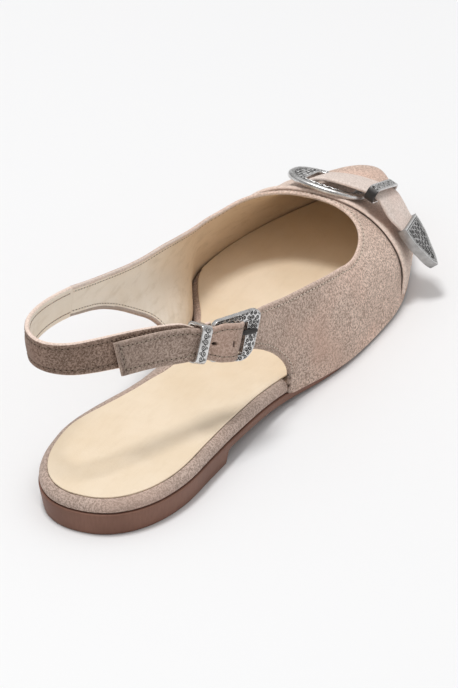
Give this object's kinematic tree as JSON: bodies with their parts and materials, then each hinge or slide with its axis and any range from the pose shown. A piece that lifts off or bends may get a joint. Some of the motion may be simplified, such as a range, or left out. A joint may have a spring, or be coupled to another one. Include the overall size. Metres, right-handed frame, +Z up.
{
  "type": "pointed toe buckle sandal",
  "caption": "Flat pointed-toe slingback in taupe suede, with an engraved buckle belt over the vamp, a buckled sling strap round the heel and a low brown heel",
  "frame": {"origin": "middle of the heel's flat face on the floor", "axes": "+Y to the toe, +Z up, +X to the lateral side"},
  "size_m": [0.0895, 0.2657, 0.0704],
  "materials": {
    "brown_rubber": "satin",
    "rand_suede": "suede nap",
    "cream_leather": "smooth semi-matt",
    "taupe_suede": "suede nap outside, cream-grey lining inside",
    "strap_suede": "suede nap",
    "sling_buckle_metal": "engraved antique silver",
    "sling_prong_metal": "polished antique silver",
    "sling_keeper_metal": "engraved antique silver",
    "band_suede": "suede nap",
    "belt_suede": "suede nap",
    "vamp_buckle_metal": "engraved antique silver",
    "vamp_keeper_metal": "engraved antique silver",
    "vamp_tip_metal": "engraved antique silver"
  },
  "bodies": {
    "root": {"outsole": "brown_rubber", "footbed": "rand_suede", "insole": "cream_leather", "upper": "taupe_suede", "heel_strap": "strap_suede", "sling_buckle": "sling_buckle_metal", "sling_prong": "sling_prong_metal", "sling_keeper": "sling_keeper_metal", "vamp_band": "band_suede", "vamp_belt": "belt_suede", "vamp_buckle": "vamp_buckle_metal", "vamp_keeper": "vamp_keeper_metal", "vamp_tip": "vamp_tip_metal"}
  },
  "joints": []
}
